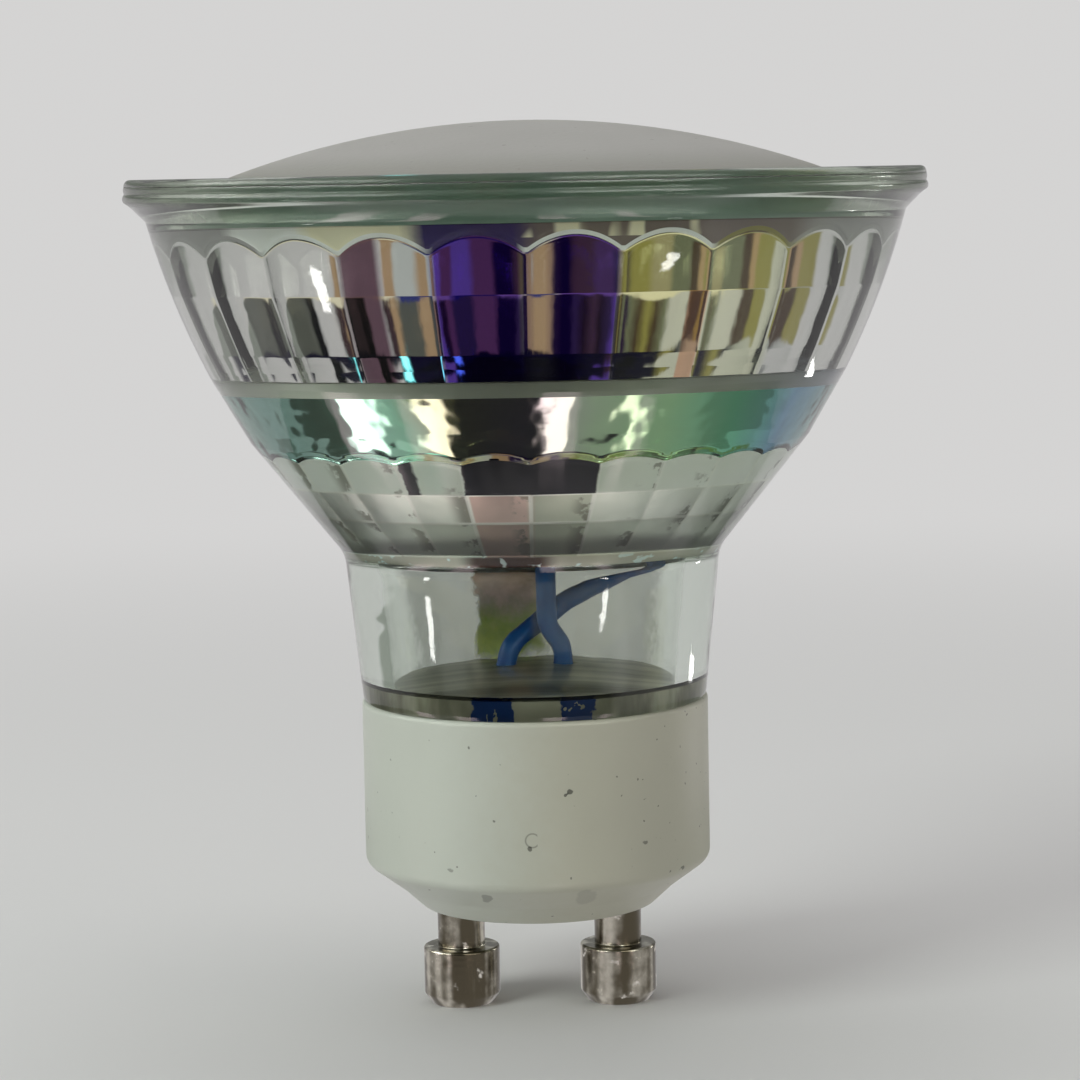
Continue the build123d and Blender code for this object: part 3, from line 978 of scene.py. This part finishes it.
def ledge_film():
    """The film on the strip between the arches and the board, painted round the bulb as
    reflection: lilac grey at the sides, white and cream highlights on the left, indigo dark at the
    front, and mauve on the right with cream highlight streaks.
    """
    paint, where = new_paint("ledge_film")
    x, y, z = paint.axes(where)
    drift = paint.noise(where, 260.0, 4.0, 0.6) - 0.5
    tint = paint.ring(
        direction_round(paint, x, y) + drift * 0.012,
        (-180, -53, LILAC_GREY),
        (-50, -37, PAINTED_HIGHLIGHT_WHITE),
        (-34, -19, PAINTED_HIGHLIGHT_CREAM),
        (-16, -2, PAINTED_REFLECTION_INDIGO),
        (1, 44, MAUVE),
        (50, 180, LILAC_GREY),
    )
    upper_half = z > (ledge_z - 0.75) * MM
    # Painted cream highlights in short streaks, on the upper half at the front right
    highlight_dash = paint.noise(where, 300.0, 2.0, stretch=(1.0, 1.0, 0.2)) + upper_half * 0.5
    lit = paint.span(x, (-0.001, 0.0), (0.010, 0.011)) * (y < 0)
    tint = paint.mix(paint.between(highlight_dash, 1.0, 1.05) * lit, tint, PAINTED_HIGHLIGHT_CREAM)
    return coated(paint, where, tint, 0.25, 0.2, 0.15)


def arch_line():
    """A painted highlight: the white line along the arches on the flutes that have it, painted
    indigo just left of the front and olive further right as reflection.
    """
    paint, where = new_paint("arch_line")
    x, y, _ = paint.axes(where)
    tint = paint.ring(
        direction_round(paint, x, y),
        (-180, -46, LILAC_GREY),
        (-44, -16, PAINTED_HIGHLIGHT_WHITE),
        (-14.8, -0.5, PAINTED_REFLECTION_INDIGO),
        (0.0, 29.5, PAINTED_HIGHLIGHT_WHITE),
        (31, 44, OLIVE),
        (47, 180, LILAC_GREY),
    )
    return coated(paint, where, tint, 0.2, 0.2, 0.1)


def frosted_dome():
    """Frosted diffuser with a soft mottle, dust in its surface, and painted shade darker towards
    its edge by the lip.
    """
    paint, where = new_paint("frosted_dome")
    mottle = paint.noise(where, 130.0, 3.0)
    x, y, _ = paint.axes(where)
    out = (x * x + y * y) ** 0.5
    dust = paint.between(paint.noise(where, 2100.0, 1.0), 0.745, 0.78)
    frost = paint.mix(mottle, (0.315, 0.305, 0.285), (0.36, 0.35, 0.33))
    # Painted shade: darker towards the edge, where the dome meets the lip
    frost = paint.mix(paint.between(out, 0.014, 0.0195), frost, (0.24, 0.235, 0.205))
    return paint.surface(
        {
            "Base Color": paint.mix(dust * 0.6, frost, (0.16, 0.14, 0.12)),
            "Roughness": 0.45,
            "Normal": paint.bump(paint.noise(where, 2600.0, 2.0), 0.25, 0.0001),
        }
    )


def base_ceramic():
    """White satin ceramic with dark specks and a few marks, with painted light: cooler and paler
    on the left, warmer and darker on the right.
    """
    paint, where = new_paint("base_ceramic")
    x, y, z = paint.axes(where)
    cloud = paint.noise(where, 120.0, 3.0)
    grit = paint.noise(where, 2300.0, 1.0)
    wander = (paint.noise(where, 1500.0, 2.0) - 0.5) * 0.0007
    peppered = paint.between(x, 0.005, 0.008) * 0.035
    # Painted light: the left is cooler and paler, the right warmer and darker
    cool_lit_side = paint.mix(cloud, (0.52, 0.545, 0.475), (0.58, 0.605, 0.53))
    warm_shaded_side = paint.mix(cloud, (0.46, 0.455, 0.365), (0.52, 0.51, 0.41))
    body = paint.mix(paint.between(x + wander * 3.0, -0.006, 0.003), cool_lit_side, warm_shaded_side)
    marks = paint.between(grit + peppered, 0.765, 0.80) * 0.75
    for across, height, size, strength in BASE_MARKS:
        apart = ((x - across * MM) ** 2.0 + (z - height * MM) ** 2.0) ** 0.5 + wander
        marks = marks + (1 - paint.between(apart, size * 0.7 * MM, size * MM)) * (y < 0) * strength
    apart = ((x - SCRATCH[0] * MM) ** 2.0 + (z - SCRATCH[1] * MM) ** 2.0) ** 0.5
    ring = paint.maths("ABSOLUTE", apart - SCRATCH[2] * MM)
    marks = marks + (1 - paint.between(ring, 0.00003, 0.00007)) * (y < 0) * (x < 0) * 0.5
    return paint.surface(
        {
            "Base Color": paint.mix(paint.clamp(marks), body, (0.10, 0.10, 0.08)),
            "Roughness": 0.38,
            "Normal": paint.bump(paint.noise(where, 700.0, 3.0), 0.12, 0.0002),
        }
    )


def pin_plating():
    """Nickel plate in dark brown and pale upright streaks, with bright spots."""
    paint, where = new_paint("pin_plating")
    streaks = paint.noise(where, 620.0, 2.0, stretch=(1.0, 1.0, 0.05))
    turning = paint.noise(where, 300.0, 2.0, stretch=(1.0, 1.0, 14.0))
    spot_noise = paint.noise(where, 1100.0, 4.0)
    bright = paint.between(streaks * 0.8 + spot_noise * 0.2, 0.46, 0.64)
    plate = paint.mix(bright, (0.11, 0.095, 0.065), (0.64, 0.61, 0.52))
    return paint.surface(
        {
            "Base Color": paint.mix(paint.between(spot_noise, 0.62, 0.72), plate, (0.85, 0.82, 0.74)),
            "Metallic": 1.0,
            "Roughness": 0.12 + spot_noise * 0.18,
            "Normal": paint.bump(turning, 0.10, 0.0001),
        }
    )


def lead_sleeve():
    """Blue sleeve, slightly glossy, scuffed where it was bent."""
    paint, where = new_paint("lead_sleeve")
    scuff = paint.noise(where, 900.0, 3.0)
    return paint.surface(
        {
            "Base Color": paint.mix(scuff, (0.0, 0.035, 0.20), (0.0, 0.12, 0.36)),
            "Roughness": 0.42,
            "Normal": paint.bump(scuff, 0.4, 0.0002),
        }
    )


def plain_finish(name, first, second, roughness, metallic=0.0, scale=600.0):
    """A mottled finish for a small or hidden piece."""
    paint, where = new_paint(name)
    grain = paint.noise(where, scale, 3.0)
    return paint.surface(
        {
            "Base Color": paint.mix(grain, first, second),
            "Metallic": metallic,
            "Roughness": roughness,
            "Normal": paint.bump(grain, 0.15, 0.0001),
        }
    )


GLASS = pressed_glass()
COAT = mirror_coat()
BAND = band_coat()
WORN_AND_PAINTED_COAT = worn_coat_and_painted_light()
FLOOR_FILM = floor_film()
COMPOUND_PAINTED_SHADE = sealing_compound_painted_shade()
LEDGE = ledge_film()
ARCHES = arch_line()
DOME = frosted_dome()
CERAMIC = base_ceramic()
NICKEL = pin_plating()
SLEEVE = lead_sleeve()
CEMENT = plain_finish("cement", (0.52, 0.50, 0.42), (0.60, 0.58, 0.50), 0.5)
# The dome's adhesive, a deep green that is painted shade inside the lip
ADHESIVE_PAINTED_SHADE = plain_finish("clear_adhesive", (0.08, 0.145, 0.10), (0.11, 0.185, 0.135), 0.3)
BOARD = plain_finish("board_metal", (0.66, 0.66, 0.65), (0.72, 0.72, 0.71), 0.4)
MOULDING = plain_finish("package_moulding", (0.025, 0.025, 0.03), (0.05, 0.05, 0.055), 0.5)
RESISTOR = plain_finish("resistor_ceramic", (0.03, 0.03, 0.035), (0.06, 0.06, 0.06), 0.4)
FUSE = plain_finish("fuse_barrel", (0.30, 0.42, 0.48), (0.38, 0.50, 0.55), 0.3)
SOLDER = plain_finish("solder", (0.60, 0.60, 0.58), (0.72, 0.72, 0.70), 0.25, 1.0)
PACKAGE = plain_finish("led_package", (0.80, 0.70, 0.30), (0.86, 0.80, 0.45), 0.35)

# The slots of the glass piece, in order
GLASS_FINISHES = (GLASS, COAT, FLOOR_FILM, BAND, WORN_AND_PAINTED_COAT, LEDGE, SLEEVE, COMPOUND_PAINTED_SHADE, ARCHES)


# The glass, from the same profile as the solid


def glass_rows():
    """Rows of the glass wall from the middle of its floor, up inside, and down outside."""
    bore_foot = NECK_BORE - 0.09 * (THROAT - FLOOR_Z)
    crown_radius = (bore_foot**2 + FLOOR_CROWN**2) / (2 * FLOOR_CROWN)

    def floor_height(radius):
        return FLOOR_Z + math.sqrt(crown_radius**2 - radius**2) - (crown_radius - FLOOR_CROWN)

    radii = [bore_foot * step / FLOOR_ROWS for step in range(FLOOR_ROWS + 1)]
    rows = still(*((radius, floor_height(radius)) for radius in radii))
    marks = {"bore_foot": len(rows) - 1}
    rows += still((bore_foot + 0.01, FLOOR_Z + 0.15))
    for step in range(1, BORE_ROWS):
        part = step / BORE_ROWS
        radius = bore_foot + (NECK_BORE - bore_foot) * part
        rows += still((radius, FLOOR_Z + (THROAT - FLOOR_Z) * part))
    rows += still((NECK_BORE - 0.01, THROAT - 0.15))
    marks["coat_foot"] = len(rows)
    rows += still((NECK_BORE, THROAT), (NECK_BORE + 0.4, THROAT + 1.0))
    for tier, foot in ((lower_tier, None), (upper_tier, (BEAD_RADIUS, MID_CONE + 0.9))):
        if foot:
            marks["bead"] = len(rows)
            rows += still((BAND_RADIUS, MID_CONE), foot)
        rows.append(tier.facet_row(3))
        for number in (2, 1):
            rows += [tier.facet_row(number, rise) for rise in (-FACET_EDGE, FACET_EDGE)]
        marks.setdefault("lower_arch", len(rows) + 2)
        marks["upper_arch"] = len(rows) + 1
        rows += [tier.on_flute(3 * ARCH_EDGE), tier.on_flute(ARCH_EDGE), tier.ridge]
        rows += [tier.on_band(ARCH_EDGE), tier.on_band(3 * ARCH_EDGE)]
    marks["coat_head"] = len(rows)
    rows += still(
        (MOUTH_RADIUS - 0.7, ledge_z),
        (MOUTH_RADIUS, ledge_z),
        (MOUTH_RADIUS, rim_z - 0.15),
        (MOUTH_RADIUS + 0.1, rim_z),
    )
    neck_foot = (base_radius - 0.075, base_top + 0.25)
    neck_taper = (NECK_RADIUS - neck_foot[0]) / (NECK_TOP - neck_foot[1])
    outside = outline(
        [
            (MOUTH_RADIUS + 0.2, rim_z),
            (rim_radius - 0.14, rim_z, 0.4),
            *arc_points((rim_radius - 0.14, rim_z - 0.45), LIP_GROOVE, 0.05, 8),
            *arc_points(LIP_GROOVE, (rim_radius - 0.12, rim_z - 1.42), 0.11, 8)[1:],
            (rim_radius - 0.35, rim_z - 1.55),
            (BOWL_RADIUS, BOWL, 0.4),
            *arc_points((BOWL_RADIUS, BOWL), (MID_CONE_RADIUS, MID_CONE), 0.27, 12)[1:-1],
            (MID_CONE_RADIUS, MID_CONE, 1.0),
            (LOWER_CONE_RADIUS, LOWER_CONE, 1.0),
            (NECK_RADIUS, NECK_TOP, 2.2),
            (neck_foot[0] + 0.2 * neck_taper, neck_foot[1] + 0.2),
            neck_foot,
            (base_radius - 0.175, base_top, 0.08),
            (SPIGOT_RADIUS, base_top),
            (SPIGOT_RADIUS, SPIGOT_FOOT),
            (SPIGOT_RADIUS - SPIGOT_WALL, SPIGOT_FOOT),
            (SPIGOT_RADIUS - SPIGOT_WALL, base_top + 0.04),
            (POCKET_RADIUS, base_top + 0.04),
        ]
    )
    rows += still(*outside)
    marks["pocket"] = len(rows) - 1
    radii = [POCKET_RADIUS * (1 - step / POCKET_ROWS) for step in range(POCKET_ROWS + 1)]
    rows += still(*((radius, floor_height(radius) - POCKET_ROOF) for radius in radii))
    return rows, marks


def bore_lead_holes(wall):
    """The two holes in the glass floor where the leads come up."""
    for side in (-1, 1):
        low, high = base_top - 1.0, FLOOR_Z + FLOOR_CROWN + 1.0
        rows = [(0, low), (HOLE_RADIUS, low), (HOLE_RADIUS, high), (0, high)]
        shape = lathe("drill", rows, 40)
        sleeved = [GLASS_FINISHES.index(SLEEVE)] * len(shape.polygons)
        shape.polygons.foreach_set("material_index", sleeved)
        for finish in GLASS_FINISHES:
            shape.materials.append(finish)
        drill = bpy.data.objects.new("drill", shape)
        bpy.context.scene.collection.objects.link(drill)
        drill.location.x = side * HOLE_X * MM
        cut = wall.modifiers.new("lead_hole", "BOOLEAN")
        cut.object = drill
        cut.solver = "EXACT"
        bpy.context.view_layer.update()
        shape = bpy.data.meshes.new_from_object(
            wall.evaluated_get(bpy.context.evaluated_depsgraph_get())
        )
        wall.modifiers.clear()
        wall.data = shape
        bpy.data.objects.remove(drill)


def make_glass():
    """The pressed glass, coated from the throat to the board's ledge."""
    rows, marks = glass_rows()
    foot, bead, head = marks["coat_foot"], marks["bead"], marks["coat_head"]
    floor_edge, pocket = marks["bore_foot"], marks["pocket"]
    lower_arch, upper_arch = marks["lower_arch"], marks["upper_arch"]
    creases = [floor_edge, foot, foot + 1, foot + 2, bead, bead + 1, bead + 2]
    creases += [head, head + 1, *range(pocket - 4, pocket + 2)]
    coats = [
        (foot, lower_arch, WORN_AND_PAINTED_COAT),
        (lower_arch, bead, BAND),
        (bead, bead + 2, WORN_AND_PAINTED_COAT),
        (upper_arch, upper_arch + 2, ARCHES),
        (upper_arch + 2, head, LEDGE),
        (foot, head, COAT),
        (0, floor_edge, FLOOR_FILM),
        (pocket, len(rows) - 1, COMPOUND_PAINTED_SHADE),
    ]
    finishes = [(first, last, GLASS_FINISHES.index(coat)) for first, last, coat in coats]
    columns = plain_columns(FLUTES * COLUMNS_PER_FLUTE, 0.5)
    mesh = wall_mesh("glass_wall", rows, columns, creases, finishes)
    made = piece("glass_reflector_wall", mesh, *GLASS_FINISHES)
    bore_lead_holes(made)
    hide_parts("glass_reflector")


make_glass()


# The dome, the base and the pins


def make_dome():
    """Frosted dome with its flange and skirt, hollow under the crown."""
    flange = rim_z - 0.2
    edge = 19.0
    rise = dome_top - flange
    radius = (edge**2 + rise**2) / (2 * rise)
    centre = dome_top - radius
    inner = radius - 1.4
    inner_edge = math.sqrt(inner**2 - (flange - 1.0 - centre) ** 2)
    points = [(0, dome_top)]
    for step in range(1, 25):
        across = (edge - 1.1) * step / 24
        points.append((across, centre + math.sqrt(radius**2 - across**2)))
    points += [
        (edge, flange, 2.0),
        (skirt_radius, flange, 0.12),
        (skirt_radius, board_top),
        (skirt_radius - 1.5, board_top),
        (skirt_radius - 1.5, flange - 1.0),
    ]
    for step in range(13):
        across = inner_edge * (12 - step) / 12
        points.append((across, centre + math.sqrt(inner**2 - across**2)))
    made = piece("frosted_dome_shell", lathe("dome_shell", outline(points), 200), DOME)
    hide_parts("diffuser_dome")


def make_base():
    """White ceramic cup with its stepped foot."""
    bore = base_radius - 1.2
    floor_z = base_bottom + 3.0
    foot = base_bottom + 1.25
    points = [
        (0, base_bottom),
        (7.45, base_bottom, 0.3),
        (8.8, foot, 0.5),
        (base_radius, foot + 1.6, 0.8),
        (base_radius, base_top, 0.3),
        (bore, base_top),
        (bore, floor_z, 1.0),
        (0, floor_z),
    ]
    made = piece("ceramic_base_cup", lathe("base_cup", outline(points), 200), CERAMIC)
    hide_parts("ceramic_base")


def make_pin(side, x):
    """A turned contact pin with a bevelled head."""
    top = pin_high.z
    rivet = top - 0.5
    points = [
        (0, 0),
        (pin_radius - 0.5, 0, 0.15),
        (pin_radius, 0.7, 0.2),
        (pin_radius, 3.7, 0.15),
        (1.5, 3.7, 0.1),
        (1.5, rivet),
        (1.95, rivet),
        (1.95, top),
        (0.45, top),
        (0.45, top - 5.0),
        (0, top - 5.0),
    ]
    mesh = lathe(f"pin_{side}", outline(points), 96)
    for vertex in mesh.vertices:
        vertex.co.x += x * MM
    made = piece(f"contact_pin_{side}_turned", mesh, NICKEL)
    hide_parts(f"contact_pin_{side}")


make_dome()
make_base()
make_pin("left", -pin_x)
make_pin("right", pin_x)


# Pieces that keep their own solids, with better finishes

CARRIED = {
    "base_cement": CEMENT,
    "dome_adhesive": ADHESIVE_PAINTED_SHADE,
    "led_board": BOARD,
    "rectifier_bridge": MOULDING,
    "driver_chip": MOULDING,
    "chip_resistor_1": RESISTOR,
    "chip_resistor_2": RESISTOR,
    "input_fuse": FUSE,
    "solder_joint_left": SOLDER,
    "solder_joint_right": SOLDER,
    "lead_wire_left": SLEEVE,
    "lead_wire_right": SLEEVE,
}
for name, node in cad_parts.items():
    finish = CARRIED.get(name, PACKAGE if name.startswith("led_chip") else None)
    if finish:
        node.data.materials.clear()
        node.data.materials.append(finish)


# Floor, lamps and camera


def make_floor():
    """A plain floor that turns into the background some way off; mirror bounces see it glow with a
    painted room.
    """
    paint, where = new_paint("floor")
    x, y, _ = paint.axes(where)
    reach = (x * x + y * y) ** 0.5
    plain = paint.node("ShaderNodeBsdfDiffuse", {}, {"Color": (*FLOOR, 1.0)})
    seen, mirrored, outside, pale = ray_kinds(paint)
    turn = direction_round(paint, x, y) + paint.noise(where, 260.0, 5.0, 0.6) * 0.016 - 0.008
    ragged = reach + paint.noise(where, 300.0, 3.0) * 0.003 - 0.0015
    room = table_rings(paint, turn, ragged, outside)
    glow = paint.node(
        "ShaderNodeEmission",
        {},
        {"Color": paint.mix(mirrored, pale, room), "Strength": 1.0},
    )
    amount = paint.clamp(mirrored + paint.between(reach, 0.09, 0.30)) * seen
    paint.finish(paint.node("ShaderNodeMixShader", {}, {0: amount, 1: plain, 2: glow}))
    bpy.ops.mesh.primitive_grid_add(size=12.0, x_subdivisions=2, y_subdivisions=2)
    floor = bpy.context.object
    floor.name = "floor"
    floor.data.materials.append(paint.owner)


LAMP_AIM = (0, 0, 30)


def make_lamp(name, place, size, watts, colour=(1.0, 1.0, 1.0)):
    """A soft lamp that points at the middle of the bulb."""
    light = bpy.data.lights.new(name, "AREA")
    light.shape = "RECTANGLE"
    light.size, light.size_y = (side * MM for side in size)
    light.energy = watts
    light.color = colour
    lamp = bpy.data.objects.new(name, light)
    bpy.context.scene.collection.objects.link(lamp)
    lamp.visible_glossy = False
    lamp.visible_transmission = False
    lamp.location = Vector(place) * MM
    look = Vector(LAMP_AIM) * MM - lamp.location
    lamp.rotation_euler = look.to_track_quat("-Z", "Y").to_euler()


make_floor()
make_lamp("key_left", (-420, -330, 330), (260, 260), 1.55, (0.93, 1.0, 0.96))
make_lamp("fill_right", (460, -260, 240), (220, 300), 0.16, (1.0, 0.88, 0.76))
make_lamp("top_soft", (0, 120, 520), (400, 400), 0.8)

CAMERA_DISTANCE = 205.0
CAMERA_PITCH = 6.42
CAMERA_ROLL = -1.1
CAMERA_SIDE = 0.5
FOCAL_PIXELS = 3268.0
IMAGE_PIXELS = 1080.0
SENSOR = 36.0

camera = bpy.data.cameras.new("camera")
camera.sensor_width = SENSOR
camera.lens = SENSOR * FOCAL_PIXELS / IMAGE_PIXELS
camera.clip_start = 0.01
viewer = bpy.data.objects.new("camera", camera)
bpy.context.scene.collection.objects.link(viewer)
viewer.location = Vector((CAMERA_SIDE, -CAMERA_DISTANCE, rim_z)) * MM
viewer.rotation_mode = "XYZ"
pitch = math.radians(CAMERA_PITCH)
aim = Vector((0, math.cos(pitch), -math.sin(pitch)))
turned = aim.to_track_quat("-Z", "Y").to_matrix().to_4x4()
turned = turned @ Matrix.Rotation(math.radians(CAMERA_ROLL), 4, "Z")
viewer.rotation_euler = turned.to_euler()
bpy.context.scene.camera = viewer
bpy.context.scene.view_settings.view_transform = "Standard"
